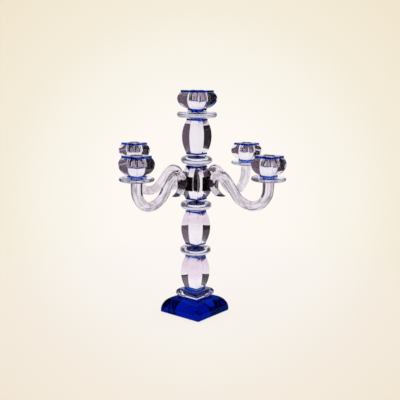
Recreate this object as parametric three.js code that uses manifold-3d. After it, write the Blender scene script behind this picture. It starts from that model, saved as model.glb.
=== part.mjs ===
// Five-light crystal candelabrum.
//
// Millimetres, +Z up. The origin is the centre of the base's underside. The column is a stack of
// square crystal barrels, turned so that their faces look along X and Y, with round discs between
// them. Four scrolled glass arms leave the hub along +X, +Y, -X and -Y. Each arm hangs in a metal
// socket on the hub by a tongue, and lifts off it straight up. Every candle cup has a loose liner.

import * as THREE from "three";
import { mergeVertices } from "three/addons/utils/BufferGeometryUtils.js";
import Module from "manifold-3d";

const wasm = await Module();
wasm.setup();

// ---------- driving dimensions ----------

const OVERALL_HEIGHT = 440; // floor to the central cup's rim
const FIT_GAP = 0.3; // clearance between pieces that are cut to each other, or that slide

const BASE = { half: 48.5, topHalf: 22.5, land: 5, height: 32.5 };
const COLLAR = { half: 27.2, endHalf: 22.5, height: 15.5 };

const PLATE = 3.2; // thickness of the blue plates
const RIM_PLATE = 4.2; // thickness of the blue plates that close the cups
const BEAD = { endHalf: 14.6, midHalf: 20.4, height: 68.4 }; // height with both plates
const HUB = { endHalf: 14.9, midHalf: 23.2, height: 67 };
const DISC = { contact: 14.6, radius: 30.4, rim: 7, height: 21.8 };

const TOP_PAN = { contact: 13, radius: 38.6, rim: 5.6, height: 16 };
const TOP_CUP = { rimHalf: 22.7, bulgeHalf: 30.8, footHalf: 13.2, height: 38.4 };
const SIDE_PAN = { contact: 27, radius: 31.7, rim: 3.6, height: 7.2 };
const SIDE_CUP = { rimHalf: 19.1, bulgeHalf: 25.8, footHalf: 11.9, height: 38.4 };

const LINER = { bore: 11.1, wall: 0.6, depth: 18, floor: 0.8, lip: 1.3, lipThickness: 0.8 };

const ARM_REACH = 167.5; // column axis to each arm's cup axis
const ARM_TOP = 282.4; // top of the glass rod, under its drip pan
const SOCKET = { width: 21, height: 27, depth: 5.2, floor: 6, back: 1.3, lip: 1.2, mouth: 8.6 };
const TONGUE = { width: 15, height: 17, thickness: 2.1 };
const SADDLE_WRAP = 2.7; // how far the saddle reaches round the back of the rod
const PAD = { width: 15, height: 19 }; // the face of the saddle that holds the rod

const ROUND_SIDES = 24;
const ROD_SIDES = 12;
const ROD_STEPS = 36;

const CRYSTAL = { color: 0xe8eaf2, roughness: 0.04, metalness: 0 };
const BLUE_CRYSTAL = { color: 0x0a2fb4, roughness: 0.05, metalness: 0 };
const DARK_CHROME = { color: 0x2a2628, roughness: 0.28, metalness: 1 };
const CHROME = { color: 0xb9bcc4, roughness: 0.2, metalness: 1 };

// ---------- heights of the column's joints, from the floor up ----------

const COLLAR_Z = BASE.height;
const LOWER_BEAD_Z = COLLAR_Z + COLLAR.height;
const LOWER_DISC_Z = LOWER_BEAD_Z + BEAD.height;
const MIDDLE_BEAD_Z = LOWER_DISC_Z + DISC.height;
const MIDDLE_DISC_Z = MIDDLE_BEAD_Z + BEAD.height;
const HUB_Z = MIDDLE_DISC_Z + DISC.height;
const UPPER_DISC_Z = HUB_Z + HUB.height;
const UPPER_BEAD_Z = UPPER_DISC_Z + DISC.height;
const TOP_PAN_Z = UPPER_BEAD_Z + BEAD.height;
const TOP_CUP_Z = OVERALL_HEIGHT - TOP_CUP.height;
const HUB_MID_Z = HUB_Z + HUB.height / 2;

// ---------- helpers ----------

const point = (r, z) => new THREE.Vector2(r, z);

// Points along a circular arc, from angle a to angle b in degrees.
function arc(r, z, radius, a, b, steps) {
  return Array.from({ length: steps + 1 }, (_, i) => {
    const t = THREE.MathUtils.degToRad(a + ((b - a) * i) / steps);
    return point(r + radius * Math.cos(t), z + radius * Math.sin(t));
  });
}

// Closes an outline onto the axis at both ends.
const closed = (outline) => [point(0, outline[0].y), ...outline, point(0, outline.at(-1).y)];

// A solid of revolution about +Z.
function turned(outline, sides = ROUND_SIDES) {
  return new THREE.LatheGeometry(closed(outline), sides).rotateX(Math.PI / 2);
}

// A solid whose level sections are squares, with its faces along X and Y.
function squareTurned(outline) {
  const corners = outline.map((p) => point(p.x * Math.SQRT2, p.y));
  return new THREE.LatheGeometry(closed(corners), 4, Math.PI / 4).rotateX(Math.PI / 2);
}

// The geometry as a manifold-3d solid, and back.
function solid(geometry) {
  const bare = geometry.clone();
  bare.deleteAttribute("normal");
  bare.deleteAttribute("uv");
  const merged = mergeVertices(bare, 1e-4);
  const vertProperties = new Float32Array(merged.attributes.position.array);
  const triVerts = new Uint32Array(merged.index.array);
  return new wasm.Manifold(new wasm.Mesh({ numProp: 3, vertProperties, triVerts }));
}

function geometryOf(made) {
  const mesh = made.getMesh();
  const geometry = new THREE.BufferGeometry();
  geometry.setAttribute("position", new THREE.BufferAttribute(mesh.vertProperties, 3));
  geometry.setIndex(new THREE.BufferAttribute(mesh.triVerts, 1));
  geometry.computeVertexNormals();
  return geometry;
}

// An upright block from x0 to x1 and z0 to z1, centred on Y.
function block(x0, x1, width, z0, z1) {
  const box = new THREE.BoxGeometry(x1 - x0, width, z1 - z0);
  return box.translate((x0 + x1) / 2, 0, (z0 + z1) / 2);
}

// A named piece with a material of its own.
function piece(name, geometry, look, z = 0) {
  const made = new THREE.Mesh(geometry, new THREE.MeshStandardMaterial(look));
  made.name = name;
  made.position.z = z;
  return made;
}

// ---------- base and column ----------

// The foot: a square with an upright land, domed on all four sides to a flat top.
function baseBlock() {
  const across = BASE.half - BASE.topHalf;
  const up = BASE.height - BASE.land;
  const dome = arc(0, 0, 1, 0, 90, 8).map((p) => point(BASE.topHalf + across * p.x, BASE.land + up * p.y));
  return squareTurned([point(BASE.half, 0), ...dome]);
}

// The square collar over the foot, with a rounded edge all round.
function collar() {
  const radius = COLLAR.height / 2;
  const bulge = COLLAR.half - COLLAR.endHalf;
  const edge = arc(0, radius, 1, -90, 90, 8);
  return squareTurned(
    edge.map((p) => point(COLLAR.endHalf + bulge * p.x, radius + radius * (p.y - radius))),
  );
}

// One side of a barrel: an arc from end to end, widest half way up.
function barrelSide({ endHalf, midHalf }, height, steps = 8) {
  const bulge = midHalf - endHalf;
  const radius = ((height / 2) ** 2 + bulge ** 2) / (2 * bulge);
  const half = THREE.MathUtils.radToDeg(Math.asin(height / 2 / radius));
  return arc(midHalf - radius, height / 2, radius, -half, half, steps);
}

// A square crystal barrel between two blue plates.
function barrel(name, size, z) {
  const height = size.height - 2 * PLATE;
  const plate = () => squareTurned([point(size.endHalf, 0), point(size.endHalf, PLATE)]);
  return [
    piece(name, squareTurned(barrelSide(size, height)), CRYSTAL, z + PLATE),
    piece(`${name}_bottom_plate`, plate(), BLUE_CRYSTAL, z),
    piece(`${name}_top_plate`, plate(), BLUE_CRYSTAL, z + PLATE + height),
  ];
}

// A round disc with a bullnose rim. Its two faces slope in from the rim, each along a tangent, to
// the smaller circles where it meets its neighbours.
function disc({ contact, radius, rim, height }) {
  const inward = contact - (radius - rim);
  const slope = Math.atan2(height / 2, inward) - Math.acos(rim / Math.hypot(height / 2, inward));
  const reach = THREE.MathUtils.radToDeg(slope);
  const nose = arc(radius - rim, height / 2, rim, -reach, reach, 8);
  return turned([point(contact, 0), ...nose, point(contact, height)]);
}

function column() {
  return [
    piece("base_block", baseBlock(), BLUE_CRYSTAL),
    piece("base_collar", collar(), CRYSTAL, COLLAR_Z),
    ...barrel("lower_bead", BEAD, LOWER_BEAD_Z),
    piece("lower_disc", disc(DISC), CRYSTAL, LOWER_DISC_Z),
    ...barrel("middle_bead", BEAD, MIDDLE_BEAD_Z),
    piece("middle_disc", disc(DISC), CRYSTAL, MIDDLE_DISC_Z),
    ...barrel("hub_block", HUB, HUB_Z),
    piece("upper_disc", disc(DISC), CRYSTAL, UPPER_DISC_Z),
    ...barrel("upper_bead", BEAD, UPPER_BEAD_Z),
  ];
}

// ---------- candle cups ----------

const LINER_RADIUS = LINER.bore + LINER.wall;
const CUP_HOLE = LINER_RADIUS + FIT_GAP;

// A square goblet with a candle hole, standing on a blue plate and closed by a blue rim plate.
function cup({ rimHalf, bulgeHalf, footHalf, height }) {
  const body = height - PLATE - RIM_PLATE;
  const side = new THREE.CubicBezierCurve(
    point(footHalf, 0),
    point(bulgeHalf * 0.94, body * 0.22),
    point(bulgeHalf, body * 0.74),
    point(rimHalf, body),
  );
  const hole = new THREE.CylinderGeometry(CUP_HOLE, CUP_HOLE, LINER.depth, ROUND_SIDES);
  hole.rotateX(Math.PI / 2).translate(0, 0, body + RIM_PLATE - LINER.depth / 2 - LINER.floor);
  return geometryOf(solid(squareTurned(side.getPoints(10))).subtract(solid(hole)));
}

function rimPlate(half) {
  const outline = new THREE.Shape().moveTo(-half, -half).lineTo(half, -half);
  outline.lineTo(half, half).lineTo(-half, half).closePath();
  outline.holes.push(new THREE.Path().absarc(0, 0, CUP_HOLE, 0, 2 * Math.PI, true));
  return new THREE.ExtrudeGeometry(outline, { depth: RIM_PLATE, bevelEnabled: false, curveSegments: 14 });
}

// The loose metal liner: a thin cup with a lip that rests on the rim plate. Its z is 0 at the lip's seat.
function liner() {
  const { bore, floor, lip, lipThickness } = LINER;
  const bottom = -LINER.depth;
  return new THREE.LatheGeometry(
    [
      point(0, bottom),
      point(LINER_RADIUS, bottom),
      point(LINER_RADIUS, 0),
      point(LINER_RADIUS + lip, 0),
      point(LINER_RADIUS + lip, lipThickness),
      point(bore, lipThickness),
      point(bore, bottom + floor),
      point(0, bottom + floor),
    ],
    ROUND_SIDES,
  ).rotateX(Math.PI / 2);
}

function light(name, pan, size, cupZ) {
  const foot = squareTurned([point(size.footHalf, 0), point(size.footHalf, PLATE)]);
  const rimZ = cupZ + size.height;
  return [
    piece(`${name}_drip_pan`, disc(pan), CRYSTAL, cupZ - pan.height),
    piece(`${name}_cup_foot_plate`, foot, BLUE_CRYSTAL, cupZ),
    piece(`${name}_cup`, cup(size), CRYSTAL, cupZ + PLATE),
    piece(`${name}_cup_rim_plate`, rimPlate(size.rimHalf), BLUE_CRYSTAL, rimZ - RIM_PLATE),
    piece(`${name}_candle_liner`, liner(), CHROME, rimZ),
  ];
}

// ---------- arms ----------

// The rod's centre line in the arm's own plane, from the tail of the scroll to the cup.
const ARM_LINE = new THREE.CatmullRomCurve3(
  [
    [70.5, 243],
    [61, 244],
    [50.5, 248],
    [44, 258],
    [43.8, 270],
    [49.5, 280],
    [60, 282.5],
    [71, 276.5],
    [85, 261],
    [105, 239.5],
    [130, 231.5],
    [152, 237.5],
    [165, 254],
    [ARM_REACH, 268],
    [ARM_REACH, ARM_TOP],
  ].map(([r, z]) => new THREE.Vector3(r, 0, z)),
  false,
  "centripetal",
);

// The rod's radius at t = 0 to 1 along it.
const ROD_RADII = [
  [0, 0.9],
  [0.09, 7],
  [0.18, 9.2],
  [0.4, 9],
  [0.7, 9.2],
  [1, 10.6],
];

function rodRadius(t) {
  const i = Math.max(1, ROD_RADII.findIndex(([end]) => t <= end));
  const [[t0, r0], [t1, r1]] = [ROD_RADII[i - 1], ROD_RADII[i]];
  return THREE.MathUtils.lerp(r0, r1, (t - t0) / (t1 - t0));
}

// A round rod along the arm's line, made by bending a unit cylinder; extra widens it all round.
function rod(extra = 0) {
  const bent = new THREE.CylinderGeometry(1, 1, 1, ROD_SIDES, ROD_STEPS);
  const at = bent.attributes.position;
  for (let i = 0; i < at.count; i++) {
    const t = at.getY(i) + 0.5;
    const centre = ARM_LINE.getPointAt(t);
    const along = ARM_LINE.getTangentAt(t);
    const radius = rodRadius(t) + extra;
    const out = at.getX(i) * radius;
    const z = Math.min(centre.z - out * along.x, ARM_TOP);
    at.setXYZ(i, centre.x + out * along.z, at.getZ(i) * -radius, z);
  }
  return bent;
}

const SOCKET_X = HUB.midHalf + FIT_GAP; // the socket's back
const SOCKET_MOUTH_X = SOCKET_X + SOCKET.depth;
const SOCKET_Z = HUB_MID_Z - SOCKET.height / 2;
const TONGUE_Z = SOCKET_Z + SOCKET.floor;

// A block on the hub's face with a T slot, open at the top and closed by a floor.
function socket() {
  const top = SOCKET_Z + SOCKET.height;
  const slotWidth = TONGUE.width + 2 * FIT_GAP;
  const slot = block(SOCKET_X + SOCKET.back, SOCKET_MOUTH_X - SOCKET.lip, slotWidth, TONGUE_Z, top + 1);
  const mouth = block(SOCKET_MOUTH_X - SOCKET.lip - 1, SOCKET_MOUTH_X + 1, SOCKET.mouth, TONGUE_Z, top + 1);
  const body = solid(block(SOCKET_X, SOCKET_MOUTH_X, SOCKET.width, SOCKET_Z, top));
  return geometryOf(body.subtract(solid(slot)).subtract(solid(mouth)));
}

// The saddle bonded behind the rod, with the tongue that drops into the socket.
function saddle() {
  const back = SOCKET_MOUTH_X + FIT_GAP;
  const front = ARM_LINE.getPointAt(0.2).x - rodRadius(0.2) + SADDLE_WRAP;
  const tongueX = SOCKET_X + SOCKET.back + FIT_GAP;
  const top = TONGUE_Z + TONGUE.height;
  const padZ = SOCKET_Z + (SOCKET.height - PAD.height) / 2;
  const pad = block(back, front, PAD.width, padZ, padZ + PAD.height);
  const tongue = block(tongueX, tongueX + TONGUE.thickness, TONGUE.width, TONGUE_Z, top);
  const neck = block(tongueX + 1, back + 1, SOCKET.mouth - 2 * FIT_GAP, TONGUE_Z, top);
  return geometryOf(solid(pad).add(solid(neck)).add(solid(tongue)).subtract(solid(rod(FIT_GAP))));
}

function arm(name, degrees) {
  const turnedArm = new THREE.Group();
  turnedArm.rotation.z = THREE.MathUtils.degToRad(degrees);
  const cupZ = ARM_TOP + SIDE_PAN.height;
  const end = new THREE.Group();
  end.position.x = ARM_REACH;
  end.add(...light(name, SIDE_PAN, SIDE_CUP, cupZ));
  turnedArm.add(
    piece(`${name}_socket`, socket(), DARK_CHROME),
    piece(`${name}_saddle`, saddle(), DARK_CHROME),
    piece(`${name}_arm`, rod(), CRYSTAL),
    end,
  );
  return turnedArm;
}

// ---------- assembly ----------

const candelabrum = new THREE.Group();
candelabrum.add(...column(), ...light("top", TOP_PAN, TOP_CUP, TOP_CUP_Z));
candelabrum.add(arm("right", 0), arm("back", 90), arm("left", 180), arm("front", 270));

export default candelabrum;
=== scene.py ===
"""Crystal candelabrum with five lights: the visual model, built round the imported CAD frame."""

from math import acos, atan2, cos, hypot, pi, radians, sin, sqrt, tan, tau

import bpy
from mathutils import Matrix, Vector


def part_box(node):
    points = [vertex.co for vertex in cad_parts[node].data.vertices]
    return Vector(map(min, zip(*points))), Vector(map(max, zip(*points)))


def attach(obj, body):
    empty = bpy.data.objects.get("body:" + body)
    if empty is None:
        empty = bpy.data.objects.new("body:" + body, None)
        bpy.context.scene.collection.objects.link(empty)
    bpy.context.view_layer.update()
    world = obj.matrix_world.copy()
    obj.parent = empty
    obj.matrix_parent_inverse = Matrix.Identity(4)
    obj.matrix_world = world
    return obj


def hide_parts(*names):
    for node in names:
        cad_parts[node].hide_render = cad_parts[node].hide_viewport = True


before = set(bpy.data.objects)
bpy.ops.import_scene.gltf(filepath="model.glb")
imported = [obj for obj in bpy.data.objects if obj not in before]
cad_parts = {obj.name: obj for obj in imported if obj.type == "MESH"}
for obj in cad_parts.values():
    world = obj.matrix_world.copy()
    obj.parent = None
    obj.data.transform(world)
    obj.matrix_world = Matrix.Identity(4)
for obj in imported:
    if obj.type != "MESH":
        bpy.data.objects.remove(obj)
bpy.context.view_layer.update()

MM = 0.001
UP = Vector((0, 0, 1))

# ---------------------------------------------------------------- camera

AZIMUTH = radians(38.7)  # of the direction that runs to the right in the view
PITCH = radians(10.151)
ROLL = radians(0.731)
DISTANCE = 1380.4 * MM
EYE_HEIGHT = 474.05 * MM
SIDESTEP = 7.68 * MM
FOCAL_MM, SENSOR_MM = 64.34, 36.0

RIGHT = Vector((cos(AZIMUTH), sin(AZIMUTH), 0))
AWAY = Vector((-sin(AZIMUTH), cos(AZIMUTH), 0))
LOOK = AWAY * cos(PITCH) - UP * sin(PITCH)


def add_camera():
    lens = bpy.data.cameras.new("camera")
    lens.lens, lens.sensor_width = FOCAL_MM, SENSOR_MM
    camera = bpy.data.objects.new("camera", lens)
    bpy.context.scene.collection.objects.link(camera)
    crown = AWAY * sin(PITCH) + UP * cos(PITCH)
    across = RIGHT * cos(ROLL) + crown * sin(ROLL)
    upright = crown * cos(ROLL) - RIGHT * sin(ROLL)
    turn = Matrix((across, upright, -LOOK)).transposed().to_4x4()
    eye = RIGHT * SIDESTEP - AWAY * DISTANCE + UP * EYE_HEIGHT
    camera.matrix_world = Matrix.Translation(eye) @ turn
    bpy.context.scene.camera = camera


# ---------------------------------------------------------------- node helpers


class Shader:
    """Adds nodes to one node tree and joins them up."""

    def __init__(self, owner):
        owner.use_nodes = True
        self.tree = owner.node_tree
        self.tree.nodes.clear()

    def add(self, kind, settings=None, **inputs):
        """A node; its inputs take a number, a colour or another node's output."""
        node = self.tree.nodes.new(kind)
        for name, value in (settings or {}).items():
            setattr(node, name, value)
        for name, value in inputs.items():
            socket = node.inputs[name.replace("_", " ")]
            if isinstance(value, bpy.types.NodeSocket):
                self.tree.links.new(value, socket)
            else:
                socket.default_value = value
        return node

    def grain(self, scale, stretch=(1, 1, 1), detail=3.0):
        """Noise in the object's own coordinates, from 0 to 1, stretched along its axes."""
        place = self.add("ShaderNodeTexCoord").outputs["Object"]
        spread = self.add("ShaderNodeMapping", Vector=place)
        spread.inputs["Scale"].default_value = stretch
        noise = self.add(
            "ShaderNodeTexNoise", Vector=spread.outputs[0], Scale=scale, Detail=detail
        )
        return noise.outputs["Fac"]

    def ramp(self, fac, *stops):
        """Colours or greys at places from 0 to 1."""
        node = self.add("ShaderNodeValToRGB", Fac=fac)
        band = node.color_ramp
        while len(band.elements) < len(stops):
            band.elements.new(0.5)
        for element, (place, value) in zip(band.elements, stops):
            grey = not hasattr(value, "__len__")
            element.position = place
            element.color = (value,) * 3 + (1,) if grey else (*value, 1)
        return node.outputs["Color"]

    def maths(self, operation, first, second):
        node = self.add("ShaderNodeMath", {"operation": operation})
        self.tree.links.new(first, node.inputs[0])
        self.tree.links.new(second, node.inputs[1])
        return node.outputs[0]

    def mix(self, share, first, second):
        """Two shaders, with the second's share."""
        node = self.add("ShaderNodeMixShader", Fac=share)
        self.tree.links.new(first, node.inputs[1])
        self.tree.links.new(second, node.inputs[2])
        return node.outputs[0]

    def blend(self, share, first, second):
        """Two colours, with the second's share."""
        node = self.add("ShaderNodeMix", {"data_type": "RGBA"}, Factor=share)
        for value, socket in ((first, node.inputs[6]), (second, node.inputs[7])):
            if isinstance(value, bpy.types.NodeSocket):
                self.tree.links.new(value, socket)
            else:
                socket.default_value = (*value, 1)
        return node.outputs[2]

    def relief(self, height, strength, depth):
        """A normal that is bumped by a height from 0 to 1."""
        node = self.add("ShaderNodeBump", Height=height, Strength=strength, Distance=depth)
        return node.outputs["Normal"]

    def finish(self, shader, kind="Material"):
        out = self.add(f"ShaderNodeOutput{kind}")
        self.tree.links.new(shader, out.inputs["Surface"])


def colour(red, green, blue):
    """The scene-linear value of a display colour that is given from 0 to 255."""
    return tuple(
        c / 12.92 if c <= 0.04045 else ((c + 0.055) / 1.055) ** 2.4
        for c in (red / 255, green / 255, blue / 255)
    )


# ---------------------------------------------------------------- materials

CRYSTAL_IOR = 1.52
POLISH = (0.45, 0.0), (0.8, 0.035)  # roughness of polished glass over a fine grain
WAVES, WAVE_DEPTH = 0.03, 0.2 * MM  # strength and depth of the last grinding waves
DYED_FACE_AND_SHADE = (0.03, 0.15, 0.85)  # what the polished faces of dyed glass let in, and a painted shade on what they reflect, which real glass reflects white
DYED_REACH = 300 * MM  # longer than any straight way through the base
DYED_UNIT = 100 * MM  # the length of way that a dyed glass's colour is given for
DYED_STEPS = (0, 0.03, 0.08, 0.15, 0.25, 0.4, 0.65)  # shares of DYED_REACH
FLOW = "flow"  # mesh attribute of the rods: a point on a unit circle round them, metres along


def crystal(name, pale, deep):
    """Polished glass: a faint drift of tint and the last trace of the grinding waves."""
    made = bpy.data.materials.new(name)
    s = Shader(made)
    body = s.add(
        "ShaderNodeBsdfPrincipled",
        Base_Color=s.ramp(s.grain(38), (0.3, pale), (0.7, deep)),
        Roughness=s.ramp(s.grain(420), *POLISH),
        IOR=CRYSTAL_IOR,
        Normal=s.relief(s.grain(130), WAVES, WAVE_DEPTH),
    )
    body.inputs["Transmission Weight"].default_value = 1.0
    s.finish(body.outputs[0])
    return made


def drawn(name, pale, deep):
    """Hot-drawn glass rod: its cords run along it as faint dark lines and ripple its skin."""
    made = bpy.data.materials.new(name)
    s = Shader(made)
    flow = s.add("ShaderNodeAttribute", {"attribute_name": FLOW}).outputs["Vector"]
    spread = s.add("ShaderNodeMapping", Vector=flow)
    spread.inputs["Scale"].default_value = (1, 1, 9)
    cords = s.add("ShaderNodeTexNoise", Vector=spread.outputs[0], Scale=1.7, Detail=2.0)
    cords = cords.outputs["Fac"]
    body = s.add(
        "ShaderNodeBsdfPrincipled",
        Base_Color=s.ramp(cords, (0.4, pale), (0.46, deep), (0.52, pale), (0.9, pale)),
        Roughness=s.ramp(s.grain(300), (0.45, 0.0), (0.8, 0.04)),
        IOR=CRYSTAL_IOR,
        Normal=s.relief(cords, 0.35, 0.9 * MM),
    )
    body.inputs["Transmission Weight"].default_value = 1.0
    s.finish(body.outputs[0])
    return made


def dyed(name, kept):
    """Glass coloured right through. kept is what DYED_UNIT of it lets pass: a ray that meets
    a face from inside is dimmed by the length of its way there."""
    made = bpy.data.materials.new(name)
    s = Shader(made)
    inside = s.add("ShaderNodeNewGeometry").outputs["Backfacing"]
    way = s.add("ShaderNodeLightPath").outputs["Ray Length"]
    uneven = s.maths("MULTIPLY", way, s.ramp(s.grain(30), (0.3, 0.9), (0.7, 1.0)))
    share = s.add("ShaderNodeMapRange", Value=uneven)
    share.inputs["From Max"].default_value = DYED_REACH
    passed = [(k, [c ** (k * DYED_REACH / DYED_UNIT) for c in kept]) for k in DYED_STEPS]
    passed.append((DYED_STEPS[-1] + 0.01, (1, 1, 1)))  # too long a way to be in the glass
    # Front hits also carry the deep blue face colour into their reflections: painted shade that
    # keeps the sides of the base dark.
    body = s.add(
        "ShaderNodeBsdfGlass",
        Color=s.blend(inside, DYED_FACE_AND_SHADE, s.ramp(share.outputs[0], *passed)),
        Roughness=s.ramp(s.grain(420), *POLISH),
        IOR=CRYSTAL_IOR,
        Normal=s.relief(s.grain(130), WAVES, WAVE_DEPTH),
    )
    s.finish(body.outputs[0])
    return made


def bond(name, pale, deep):
    """The joint between two pieces of glass, which light crosses without bending."""
    made = bpy.data.materials.new(name)
    s = Shader(made)
    film = s.ramp(s.grain(60), (0.3, pale), (0.7, deep))
    s.finish(s.add("ShaderNodeBsdfTransparent", Color=film).outputs[0])
    return made


def bond_with_painted_light(name, film, painted_blue, share):
    """A joint whose film tints the light that crosses it, with a share of lit blue diffuse
    colour that is painted light for the blue showing through the plates and the base.
    """
    made = bpy.data.materials.new(name)
    s = Shader(made)
    clear = s.add("ShaderNodeBsdfTransparent", Color=(*film, 1))
    painted_light_layer = s.add("ShaderNodeBsdfDiffuse", Color=(*painted_blue, 1))
    amount = s.ramp(s.grain(60), (0.3, 0.8 * share), (0.7, share))
    s.finish(s.mix(amount, clear.outputs[0], painted_light_layer.outputs[0]))
    return made


def metal(name, dark, light, stretch, rough, relief):
    """Metal with fine machining lines, which are thin along the axes that are stretched."""
    made = bpy.data.materials.new(name)
    s = Shader(made)
    lines = s.grain(160, stretch, 5.0)
    stain = s.grain(45)
    body = s.add(
        "ShaderNodeBsdfPrincipled",
        Base_Color=s.ramp(stain, (0.3, dark), (0.7, light)),
        Metallic=1.0,
        Roughness=s.ramp(lines, (0.3, rough[0]), (0.7, rough[1])),
        Normal=s.relief(lines, relief, 0.1 * MM),
    )
    s.finish(body.outputs[0])
    return made


CLEAR = crystal("clear_crystal", (0.94, 0.905, 0.95), (0.88, 0.84, 0.895))
ROD = drawn("bent_rod_crystal", (0.86, 0.82, 0.86), (0.42, 0.38, 0.42))
# Discs and pans are clear glass: their grey-blue tint is painted shade plus a painted blue of
# the plates that show through them.
SHADED_DISC_GLASS = crystal("disc_crystal_shaded", (0.8, 0.8, 0.88), (0.68, 0.69, 0.8))
CLEAR_BOND = bond("clear_bond", (0.99, 0.985, 1.0), (0.97, 0.965, 0.985))
BLUE = crystal("blue_crystal", colour(10, 92, 228), colour(5, 70, 205))
BLUE_BOND = bond("blue_bond", colour(30, 90, 215), colour(18, 70, 200))
DEEP_BLUE = dyed("base_crystal", (0.02, 0.04, 0.36))
# Their diffuse blue share is painted light: it stands in for the blue that shows through the
# plates and the dyed base.
DISC_BOND = bond_with_painted_light("disc_bond", colour(170, 190, 240), colour(44, 84, 196), 0.6)
DEEP_BOND = bond_with_painted_light("base_bond", colour(245, 252, 255), colour(64, 150, 250), 0.6)
TURNED, DRAWN = (1, 1, 14), (14, 14, 1)  # machining lines round a piece, and up it
CHROME = metal(
    "liner_chrome", (0.8, 0.78, 0.8), (0.93, 0.92, 0.94), TURNED, (0.05, 0.13), 0.15
)
# The bore of the chrome liner is near-black metal: painted shade inside the recess.
SHADED_WELL_METAL = metal(
    "liner_well_shaded", colour(30, 26, 30), colour(58, 50, 54), TURNED, (0.25, 0.5), 0.3
)
DARK_METAL = metal(
    "socket_metal", colour(52, 44, 48), colour(82, 70, 76), DRAWN, (0.2, 0.42), 0.5
)

GLASS, BONDED = 0, 1  # material slots of every glass piece
CLEAR_SET = (CLEAR, CLEAR_BOND)
BLUE_SET = (BLUE, BLUE_BOND)
BASE_SET = (DEEP_BLUE, DEEP_BOND)
ROD_SET = (ROD, CLEAR_BOND)
DISC_SET = (SHADED_DISC_GLASS, DISC_BOND)
PAN_SET = (SHADED_DISC_GLASS, CLEAR_BOND)
OUTSIDE, BORE = 0, 1  # material slots of a liner
LINER_SET = (CHROME, SHADED_WELL_METAL)

# ---------------------------------------------------------------- mesh helpers

EDGE = 0.45 * MM  # radius of a ground edge
EDGE_STEPS = 4
SIDE_STEPS = 16
ROUND_STEPS = 96
CREASE = radians(10)  # flat facets stay flat right up to their ground edges


def square(half, z, steps=1):
    """A square ring with rounded corners; each side is cut at even angles into steps."""
    ring = []
    for quarter in range(4):
        turn = Matrix.Rotation(quarter * pi / 2, 3, "Z")
        for k in range(EDGE_STEPS + 1):
            a = k / EDGE_STEPS * pi / 2
            corner = Vector((half - EDGE + EDGE * cos(a), half - EDGE + EDGE * sin(a), z))
            ring.append(turn @ corner)
        for k in range(1, steps):
            a = pi / 4 + k / steps * pi / 2
            ring.append(turn @ Vector((half / tan(a), half, z)))
    return ring


def circle(radius, z):
    return [
        Vector((radius * cos(a), radius * sin(a), z))
        for a in (k / ROUND_STEPS * tau for k in range(ROUND_STEPS))
    ]


def onto_circle(ring, radius):
    """The ring's points moved straight out or in to a circle."""
    return [Vector((*(p.xy.normalized() * radius), p.z)) for p in ring]


def onto_square(ring, half):
    """The ring's points moved straight out or in to a sharp square."""
    return [Vector((*(p.xy * (half / max(abs(p.x), abs(p.y)))), p.z)) for p in ring]


def level(ring, z):
    """The ring moved to another height."""
    return [Vector((p.x, p.y, z)) for p in ring]


def skin(name, rings, first=GLASS, loop=False, crease=CREASE):
    """A closed mesh over rings of equal length. rings is [(points, slot of the band above)];
    both ends are capped, the first with slot first, unless the rings run back to the start."""
    count = len(rings[0][0])
    points = [p for ring, _ in rings for p in ring]
    faces, slots = [], []
    bands = len(rings) if loop else len(rings) - 1
    for i in range(bands):
        low, high = i * count, (i + 1) % len(rings) * count
        for k in range(count):
            n = (k + 1) % count
            faces.append((low + k, low + n, high + n, high + k))
            slots.append(rings[i][1])
    if not loop:
        faces += [tuple(range(count))[::-1], tuple(range(bands * count, len(points)))]
        slots += [first, rings[-1][1]]
    mesh = bpy.data.meshes.new(name)
    mesh.from_pydata(points, [], faces)
    mesh.polygons.foreach_set("material_index", slots)
    mesh.shade_smooth()
    mesh.set_sharp_from_angle(angle=crease)
    mesh.update()
    return mesh


def place(mesh, name, body, materials, slot, turn=0.0, centre=(0, 0, 0)):
    """The shown piece that stands for the CAD node of the same name."""
    if not mesh.materials:
        for material in materials:
            mesh.materials.append(material)
    piece = bpy.data.objects.new(f"{name}_visual", mesh)
    bpy.context.scene.collection.objects.link(piece)
    spot = Matrix.Translation(centre)
    piece.matrix_world = Matrix.Rotation(turn, 4, "Z") @ spot
    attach(piece, body)
    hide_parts(name)
    return piece


def half_of(node):
    """Half the width of a CAD node."""
    low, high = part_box(node)
    return (high.y - low.y) / 2


def rise_of(node):
    """Heights of a CAD node's underside and top."""
    low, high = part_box(node)
    return low.z, high.z


# ---------------------------------------------------------------- glass pieces

BASE_LAND, BASE_FOOT = 5 * MM, 0.8 * MM  # the upright part of its sides, their lower edge
COLLAR_END = 22.5 * MM  # half width where the base and its collar meet
DISC_CONTACT, DISC_RIM = 14.6 * MM, 7 * MM
TOP_PAN_CONTACT, TOP_PAN_RIM = 13 * MM, 5.6 * MM
SIDE_PAN_CONTACT, SIDE_PAN_RIM = 27 * MM, 3.6 * MM
TOP_CUP_BULGE, SIDE_CUP_BULGE = 30.8 * MM, 25.8 * MM  # half widths
CHAMFER = 0.3 * MM  # on the blue plates
HOLE, HOLE_DEPTH, HOLE_FOOT = 12 * MM, 18.8 * MM, 1.2 * MM  # radius, depth, rounding inside
RIM_PLATE = rise_of("top_cup_rim_plate")[1] - rise_of("top_cup_rim_plate")[0]
BARREL_STEPS = 48
DOME_STEPS = 40
NOSE_STEPS = 28


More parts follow.
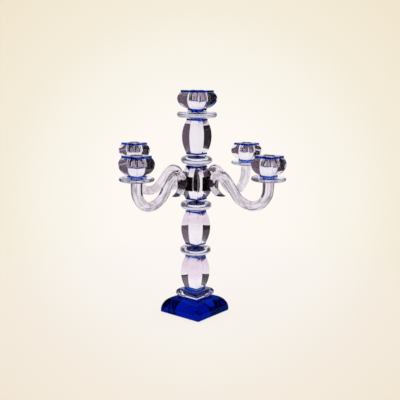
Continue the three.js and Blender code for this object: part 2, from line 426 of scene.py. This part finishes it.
def plate(node, under=None, over=None):
    """A thin blue square between two clear pieces. under and over are the radii of the round
    faces that it is bonded to; without one, it is bonded right out to its edges."""
    half = half_of(node)
    low, high = rise_of(node)
    foot, crown = (square(half - CHAMFER, z, steps=SIDE_STEPS) for z in (low, high))
    rings = [
        (foot, GLASS),
        (square(half, low + CHAMFER, steps=SIDE_STEPS), GLASS),
        (square(half, high - CHAMFER, steps=SIDE_STEPS), GLASS),
        (crown, GLASS if over else BONDED),
    ]
    if under:
        rings.insert(0, (onto_circle(foot, under), GLASS))
    if over:
        rings.append((onto_circle(crown, over), BONDED))
    return skin(node, rings, first=BONDED)


def bulging(end, middle, low, high):
    """(half width, height) up a barrel whose sides are arcs of a circle."""
    rise, swell = (high - low) / 2, middle - end
    radius = (rise * rise + swell * swell) / (2 * swell)
    for k in range(BARREL_STEPS + 1):
        z = -rise + 2 * rise * k / BARREL_STEPS
        yield middle - radius + sqrt(radius * radius - z * z), low + rise + z


def barrel(node, end, top_contact=None):
    """A square bead with bowed sides, bonded at its foot and over the contact on its top."""
    low, high = rise_of(node)
    rings = [(square(h, z), GLASS) for h, z in bulging(end, half_of(node), low, high)]
    if top_contact:
        rings.append((square(top_contact, high), BONDED))
    else:
        rings[-1] = (rings[-1][0], BONDED)
    return skin(node, rings, first=BONDED)


def base(node):
    """The blue block under it all: a low upright land, then a dome up to the collar. The
    two are shaded as one curve."""
    low, high = rise_of(node)
    half = half_of(node)
    rings = [(square(half - BASE_FOOT, low), GLASS), (square(half, low + BASE_FOOT), GLASS)]
    for k in range(DOME_STEPS + 1):
        a = k / DOME_STEPS * pi / 2
        wide = COLLAR_END + (half - COLLAR_END) * cos(a)
        rings.append((square(wide, BASE_LAND + (high - BASE_LAND) * sin(a)), GLASS))
    rings[-1] = (rings[-1][0], BONDED)
    return skin(node, rings, crease=radians(50))


def disc(node, contact, rim, below=None, above=None):
    """A turned disc with a bullnose rim and two sloping faces. It is bonded over its contact
    circles, or over what below and above make of them."""
    low, high = rise_of(node)
    inner, middle = half_of(node) - rim, (low + high) / 2
    rise, inward = (high - low) / 2, contact - inner
    reach = atan2(rise, inward) - acos(min(1.0, rim / hypot(rise, inward)))
    rings = [(circle(contact, low), GLASS)]
    for k in range(NOSE_STEPS + 1):
        a = -reach + 2 * reach * k / NOSE_STEPS
        rings.append((circle(inner + rim * cos(a), middle + rim * sin(a)), GLASS))
    rings.append((circle(contact, high), GLASS if above else BONDED))
    if below:
        rings.insert(0, (below(circle(contact, low)), GLASS))
    if above:
        rings.append((above(circle(contact, high)), BONDED))
    return skin(node, rings, first=BONDED)


def cup(node, foot, rim, bulge):
    """A square cup of solid glass with a round hole for its liner."""
    low, high = rise_of(node)
    tall = high - low
    p0, p1 = Vector((foot, 0)), Vector((0.94 * bulge, 0.22 * tall))
    p2, p3 = Vector((bulge, 0.74 * tall)), Vector((rim, tall))
    rings = []
    for k in range(BARREL_STEPS + 1):
        t = k / BARREL_STEPS
        s = 1 - t
        p = p0 * s**3 + p1 * 3 * s * s * t + p2 * 3 * s * t * t + p3 * t**3
        rings.append((square(p.x, low + p.y, steps=SIDE_STEPS), GLASS))
    top = rings[-1][0]
    rings[-1] = (top, BONDED)
    mouth = onto_circle(top, HOLE)
    floor = high - (HOLE_DEPTH - RIM_PLATE)
    rings.append((mouth, GLASS))
    rings.append((level(mouth, floor + HOLE_FOOT), GLASS))
    for k in range(1, 6):
        a = k / 5 * pi / 2
        ring = onto_circle(mouth, HOLE - HOLE_FOOT * (1 - cos(a)))
        rings.append((level(ring, floor + HOLE_FOOT * (1 - sin(a))), GLASS))
    return skin(node, rings, first=BONDED)


def rim_plate(node):
    """The blue square on a cup, with the hole through it."""
    half = half_of(node)
    low, high = rise_of(node)
    foot = square(half - CHAMFER, low, steps=SIDE_STEPS)
    edge = square(half, low + CHAMFER, steps=SIDE_STEPS)
    crown = square(half - CHAMFER, high, steps=SIDE_STEPS)
    hole = onto_circle(foot, HOLE)
    wide = onto_circle(foot, HOLE + CHAMFER)
    return skin(
        node,
        [
            (hole, BONDED),
            (foot, GLASS),
            (edge, GLASS),
            (level(edge, high - CHAMFER), GLASS),
            (crown, GLASS),
            (level(wide, high), GLASS),
            (level(hole, high - CHAMFER), GLASS),
        ],
        loop=True,
    )


# ---------------------------------------------------------------- candle liners

LINER_BORE, LINER_WALL, LINER_FLOOR, LINER_LIP = 11.1 * MM, 0.6 * MM, 0.8 * MM, 0.8 * MM


def liner(node):
    """A drawn metal cup whose mouth is rolled out into a thin lip."""
    low, high = rise_of(node)
    outer, lip = LINER_BORE + LINER_WALL, half_of(node)
    bend, roll = 1.0 * MM, LINER_LIP / 2
    profile = [(outer - bend, low)]
    profile += [
        (outer - bend + bend * sin(a), low + bend - bend * cos(a))
        for a in (radians(15 * k) for k in range(1, 7))
    ]
    profile += [(outer, high - LINER_LIP)]
    profile += [
        (lip - roll + roll * cos(a), high - roll + roll * sin(a))
        for a in (radians(-90 + 15 * k) for k in range(13))
    ]
    profile += [
        (LINER_BORE + roll * (1 - sin(a)), high - roll * (1 - cos(a)))
        for a in (radians(15 * k) for k in range(7))
    ]
    profile += [(LINER_BORE, low + LINER_FLOOR + bend)]
    profile += [
        (LINER_BORE - bend * (1 - cos(a)), low + LINER_FLOOR + bend * (1 - sin(a)))
        for a in (radians(15 * k) for k in range(1, 7))
    ]
    mouth = profile.index((LINER_BORE, low + LINER_FLOOR + bend)) - 1
    rings = [
        (circle(r, z), BORE if i >= mouth else OUTSIDE) for i, (r, z) in enumerate(profile)
    ]
    return skin(node, rings, first=OUTSIDE, crease=radians(20))


# ---------------------------------------------------------------- arms

# Centre line of the right arm, (out from the axis, height): the scroll's tail first, round
# the bracket, over the shoulder, down to the dip and up to the drip pan.
ARM_LINE = [
    (70.5, 243), (61, 244), (50.5, 248), (44, 258), (43.8, 270), (49.5, 280), (60, 282.5),
    (71, 276.5), (85, 261), (105, 239.5), (130, 231.5), (152, 237.5), (165, 254),
    (167.5, 268), (167.5, 282.4),
]  # fmt: skip
ARM_RADII = [(0, 0.9), (0.09, 7), (0.18, 9.2), (0.4, 9), (0.7, 9.2), (1, 10.6)]
ARM_STATIONS, ARM_SIDES, ARM_FINE = 220, 48, 32


def centre_line():
    """The arm's line as many short steps: a centripetal Catmull-Rom through its points."""
    points = [Vector(p) * MM for p in ARM_LINE]
    points = [points[0] * 2 - points[1], *points, points[-1] * 2 - points[-2]]
    line = []
    for a, b, c, d in zip(points, points[1:], points[2:], points[3:]):
        before, here, after = (sqrt((q - p).length) for p, q in ((a, b), (b, c), (c, d)))
        leave = ((b - a) / before - (c - a) / (before + here) + (c - b) / here) * here
        arrive = ((c - b) / here - (d - b) / (here + after) + (d - c) / after) * here
        for k in range(ARM_FINE):
            t = k / ARM_FINE
            line.append(
                b
                + leave * t
                + (3 * (c - b) - 2 * leave - arrive) * t * t
                + (2 * (b - c) + leave + arrive) * t**3
            )
    return [*line, points[-2]]


def arm(name):
    """A rod of hot-bent glass with a tapered tail; its upper end is bonded to the pan."""
    line = centre_line()
    run = [0.0]
    for p, q in zip(line, line[1:]):
        run.append(run[-1] + (q - p).length)
    rings, flow, i = [], [], 0
    for station in range(ARM_STATIONS + 1):
        t = station / ARM_STATIONS
        while i < len(run) - 2 and run[i + 1] < t * run[-1]:
            i += 1
        p = line[i].lerp(line[i + 1], (t * run[-1] - run[i]) / (run[i + 1] - run[i]))
        ahead = (line[min(i + 2, len(line) - 1)] - line[max(i - 1, 0)]).normalized()
        if station == ARM_STATIONS:
            ahead = Vector((0, 1))
        j = next(k for k in range(len(ARM_RADII) - 1) if t <= ARM_RADII[k + 1][0])
        (t0, r0), (t1, r1) = ARM_RADII[j : j + 2]
        radius = (r0 + (r1 - r0) * (t - t0) / (t1 - t0)) * MM
        outward, across = Vector((-ahead.y, 0, ahead.x)), Vector((0, 1, 0))
        centre = Vector((p.x, 0, p.y))
        ring = [
            centre + (outward * cos(a) - across * sin(a)) * radius
            for a in (k / ARM_SIDES * tau for k in range(ARM_SIDES))
        ]
        rings.append((ring, BONDED if station == ARM_STATIONS else GLASS))
        for a in (k / ARM_SIDES * tau for k in range(ARM_SIDES)):
            flow += (cos(a), sin(a), t * run[-1])
    mesh = skin(name, rings)
    mesh.attributes.new(FLOW, "FLOAT_VECTOR", "POINT").data.foreach_set("vector", flow)
    return mesh


# ---------------------------------------------------------------- stage

# What the camera sees of the surround: degrees off the middle of the picture, and a colour.
CREAM = [
    (23, colour(240, 228, 203)),
    (15.6, colour(244, 236, 218)),
    (11.2, colour(248, 244, 233)),
    (6.4, colour(253, 248, 242)),
]
# What glass and metal see: a bright backdrop, and a dim room on the camera's side of the
# object, here from the camera's left to its right.
BACKDROP = (1.0, 0.985, 1.0)
DIM = colour(152, 138, 150)
ROOM = [(0.2, (0.95, 0.92, 0.96)), (0.4, DIM), (0.55, DIM), (0.9, colour(204, 192, 208))]
PAPER, PAPER_GLOW = (0.83, 0.76, 0.81), 0.1  # the floor's colour and how much it shines
PAPER_SEEN = 0.18  # how much of the floor the camera sees over the surround
FLOOR_RADIUS, FLOOR_SOLID = 790 * MM, 0.45  # it thins out beyond this share of its radius
FLOOR_DROP = 0.3 * MM  # keeps the floor's surface apart from the underside of the base
BLACK, GREY, DARK_FLAG = colour(8, 6, 10), colour(108, 94, 108), colour(45, 42, 46)
# The cards: name, heading, distance, width, lower and upper edge in millimetres, colour.
# The near pair hangs above the base and darkens the sides of the crystal; the far pair
# stands on the floor and darkens the sides of the base.
CARDS = [
    ("left_card", -99, 323, 560, 85, 575, BLACK),
    ("right_card", 85, 320, 400, 85, 900, GREY),
    ("far_left_card", -88, 1500, 1500, 0, 520, BLACK),
    ("far_right_card", 88, 1500, 1500, 0, 520, BLACK),
]


def sheet(name, corners, material):
    """A flat piece of the stage."""
    mesh = bpy.data.meshes.new(name)
    mesh.from_pydata(corners, [], [tuple(range(len(corners)))])
    mesh.materials.append(material)
    made = bpy.data.objects.new(name, mesh)
    bpy.context.scene.collection.objects.link(made)
    return made


def matt(name, albedo):
    """Plain unglazed card or cloth."""
    made = bpy.data.materials.new(name)
    s = Shader(made)
    s.finish(s.add("ShaderNodeBsdfDiffuse", Color=(*albedo, 1)).outputs[0])
    return made


def add_floor():
    """A plain pale floor, which thins out towards its edge so that no horizon shows."""
    made = bpy.data.materials.new("floor")
    s = Shader(made)
    place = s.add("ShaderNodeTexCoord").outputs["Object"]
    reach = s.add("ShaderNodeVectorMath", {"operation": "LENGTH"}, Vector=place)
    smooth = {"interpolation_type": "SMOOTHSTEP"}
    solid = s.add("ShaderNodeMapRange", smooth, Value=reach.outputs["Value"])
    solid.inputs["From Min"].default_value = FLOOR_RADIUS
    solid.inputs["From Max"].default_value = FLOOR_SOLID * FLOOR_RADIUS
    paper = s.add("ShaderNodeBsdfDiffuse", Color=(*PAPER, 1))
    glow = s.add("ShaderNodeEmission", Color=(*PAPER, 1), Strength=PAPER_GLOW)
    lit = s.add("ShaderNodeAddShader")
    s.tree.links.new(paper.outputs[0], lit.inputs[0])
    s.tree.links.new(glow.outputs[0], lit.inputs[1])
    clear = s.add("ShaderNodeBsdfTransparent")
    ray = s.add("ShaderNodeLightPath")
    seen = s.add("ShaderNodeMapRange", Value=ray.outputs["Is Camera Ray"])
    seen.inputs["To Min"].default_value = 1.0
    seen.inputs["To Max"].default_value = PAPER_SEEN
    cover = s.maths("MULTIPLY", solid.outputs[0], seen.outputs[0])
    s.finish(s.mix(cover, clear.outputs[0], lit.outputs[0]))
    sheet("floor", circle(FLOOR_RADIUS, -FLOOR_DROP), made)


def cloth(name, corners, albedo):
    """A matt sheet of the stage that only glass and metal see."""
    made = sheet(name, corners, matt(name, albedo))
    made.visible_camera = made.visible_diffuse = made.visible_shadow = False


def card(name, heading, distance, width, low, high, albedo):
    """An upright card facing the object. heading is in degrees from straight away from the
    camera, positive to the right."""
    turn = radians(heading)
    out = AWAY * cos(turn) + RIGHT * sin(turn)
    along = UP.cross(out) * (width * MM / 2)
    foot, top = ((out * distance + UP * rise) * MM for rise in (low, high))
    cloth(name, [foot - along, foot + along, top + along, top - along], albedo)


def add_dark_floor_flag():
    """A dark strip across the floor on the camera's side of the object, which only glass and
    metal see: a dark sheet standing in for shade in the rims of the discs.
    """
    near, far, half = AWAY * -200 * MM, AWAY * -600 * MM, RIGHT * 800 * MM
    cloth("dark_floor_flag", [near + half, near - half, far - half, far + half], DARK_FLAG)


def add_world():
    """A surround that is cream for the camera and has a studio's lights and darks for glass."""
    world = bpy.data.worlds.new("surround")
    bpy.context.scene.world = world
    s = Shader(world)
    heading = s.add("ShaderNodeTexCoord").outputs["Generated"]

    def along(axis, low, high):
        """How far a direction leans along an axis: 0 at cosine low, 1 at cosine high."""
        lean = s.add("ShaderNodeVectorMath", {"operation": "DOT_PRODUCT"})
        s.tree.links.new(heading, lean.inputs[0])
        lean.inputs[1].default_value = axis
        spread = s.add("ShaderNodeMapRange", Value=lean.outputs["Value"])
        spread.inputs["From Min"].default_value = low
        spread.inputs["From Max"].default_value = high
        return spread.outputs[0]

    widest = cos(radians(24))
    glow = [((cos(radians(a)) - widest) / (1 - widest), shade) for a, shade in CREAM]
    seen = s.add("ShaderNodeBackground", Color=s.ramp(along(LOOK, widest, 1.0), *glow))
    room = s.ramp(along(RIGHT, -0.6, 0.6), *ROOM)
    behind, overhead = along(AWAY, -0.15, 0.15), along(UP, 0.5, 0.9)
    lit = s.blend(s.maths("MAXIMUM", behind, overhead), room, BACKDROP)
    around = s.add("ShaderNodeBackground", Color=lit)
    ray = s.add("ShaderNodeLightPath").outputs["Is Camera Ray"]
    s.finish(s.mix(ray, around.outputs[0], seen.outputs[0]), "World")


def add_softbox():
    """A wide round lamp straight overhead."""
    lamp = bpy.data.lights.new("softbox", "AREA")
    lamp.shape, lamp.size, lamp.energy = "DISK", 1000 * MM, 3.0
    made = bpy.data.objects.new("softbox", lamp)
    made.location = UP * 1500 * MM
    bpy.context.scene.collection.objects.link(made)


# ---------------------------------------------------------------- assembly


def build_column():
    def glass(node, mesh, materials=CLEAR_SET, slot="clear_crystal"):
        place(mesh, node, "column", materials, slot)

    def blue(node, **contacts):
        glass(node, plate(node, **contacts), BLUE_SET, "blue_crystal")

    glass("base_block", base("base_block"), BASE_SET, "blue_crystal")
    bead_end = half_of("lower_bead_bottom_plate")
    glass("base_collar", barrel("base_collar", COLLAR_END, top_contact=bead_end))
    beads = ["lower_bead", "middle_bead", "hub_block", "upper_bead"]
    discs = ["lower_disc", "middle_disc", "upper_disc"]
    for i, bead in enumerate(beads):
        foot, crown = f"{bead}_bottom_plate", f"{bead}_top_plate"
        glass(bead, barrel(bead, half_of(foot)))
        blue(foot, under=DISC_CONTACT if i else None)
        blue(crown, over=DISC_CONTACT if i < len(discs) else TOP_PAN_CONTACT)
    for node in discs:
        glass(node, disc(node, DISC_CONTACT, DISC_RIM), DISC_SET)
    glass("top_drip_pan", disc("top_drip_pan", TOP_PAN_CONTACT, TOP_PAN_RIM), DISC_SET)
    blue("top_cup_foot_plate", under=TOP_PAN_CONTACT)
    foot, rim = half_of("top_cup_foot_plate"), half_of("top_cup_rim_plate")
    glass("top_cup", cup("top_cup", foot, rim, TOP_CUP_BULGE))
    glass("top_cup_rim_plate", rim_plate("top_cup_rim_plate"), BLUE_SET, "blue_crystal")
    place(liner("top_candle_liner"), "top_candle_liner", "liner_top", LINER_SET, "liner_metal")


def build_arms():
    reach = Vector((ARM_LINE[-1][0] * MM, 0, 0))
    foot, rim = half_of("right_cup_foot_plate"), half_of("right_cup_rim_plate")
    pan = disc(
        "right_drip_pan",
        SIDE_PAN_CONTACT,
        SIDE_PAN_RIM,
        lambda ring: onto_circle(ring, ARM_RADII[-1][1] * MM),
        lambda ring: onto_square(ring, foot),
    )
    shapes = {
        "drip_pan": (pan, PAN_SET, "clear_crystal"),
        "cup_foot_plate": (plate("right_cup_foot_plate"), BLUE_SET, "blue_crystal"),
        "cup": (cup("right_cup", foot, rim, SIDE_CUP_BULGE), CLEAR_SET, "clear_crystal"),
        "cup_rim_plate": (rim_plate("right_cup_rim_plate"), BLUE_SET, "blue_crystal"),
    }
    rod, well = arm("right_arm"), liner("right_candle_liner")
    for quarter, side in enumerate(("right", "back", "left", "front")):
        turn = quarter * pi / 2
        for part, (mesh, materials, slot) in shapes.items():
            place(mesh, f"{side}_{part}", f"arm_{side}", materials, slot, turn, reach)
        place(rod, f"{side}_arm", f"arm_{side}", ROD_SET, "clear_crystal", turn)
        name = f"{side}_candle_liner"
        place(well, name, f"liner_{side}", LINER_SET, "liner_metal", turn, reach)
        for part in ("socket", "saddle"):
            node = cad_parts[f"{side}_{part}"]
            node.data.materials.clear()
            node.data.materials.append(DARK_METAL)
            ease = node.modifiers.new("ground_edges", "BEVEL")
            ease.width, ease.segments, ease.angle_limit = 0.35 * MM, 2, radians(40)


add_camera()
add_world()
add_floor()
for one in CARDS:
    card(*one)
add_dark_floor_flag()
add_softbox()
build_column()
build_arms()

view = bpy.context.scene.view_settings
view.view_transform = "Standard"
paths = bpy.context.scene.cycles
paths.max_bounces = paths.transmission_bounces = 32
paths.transparent_max_bounces = 48
paths.glossy_bounces = 8
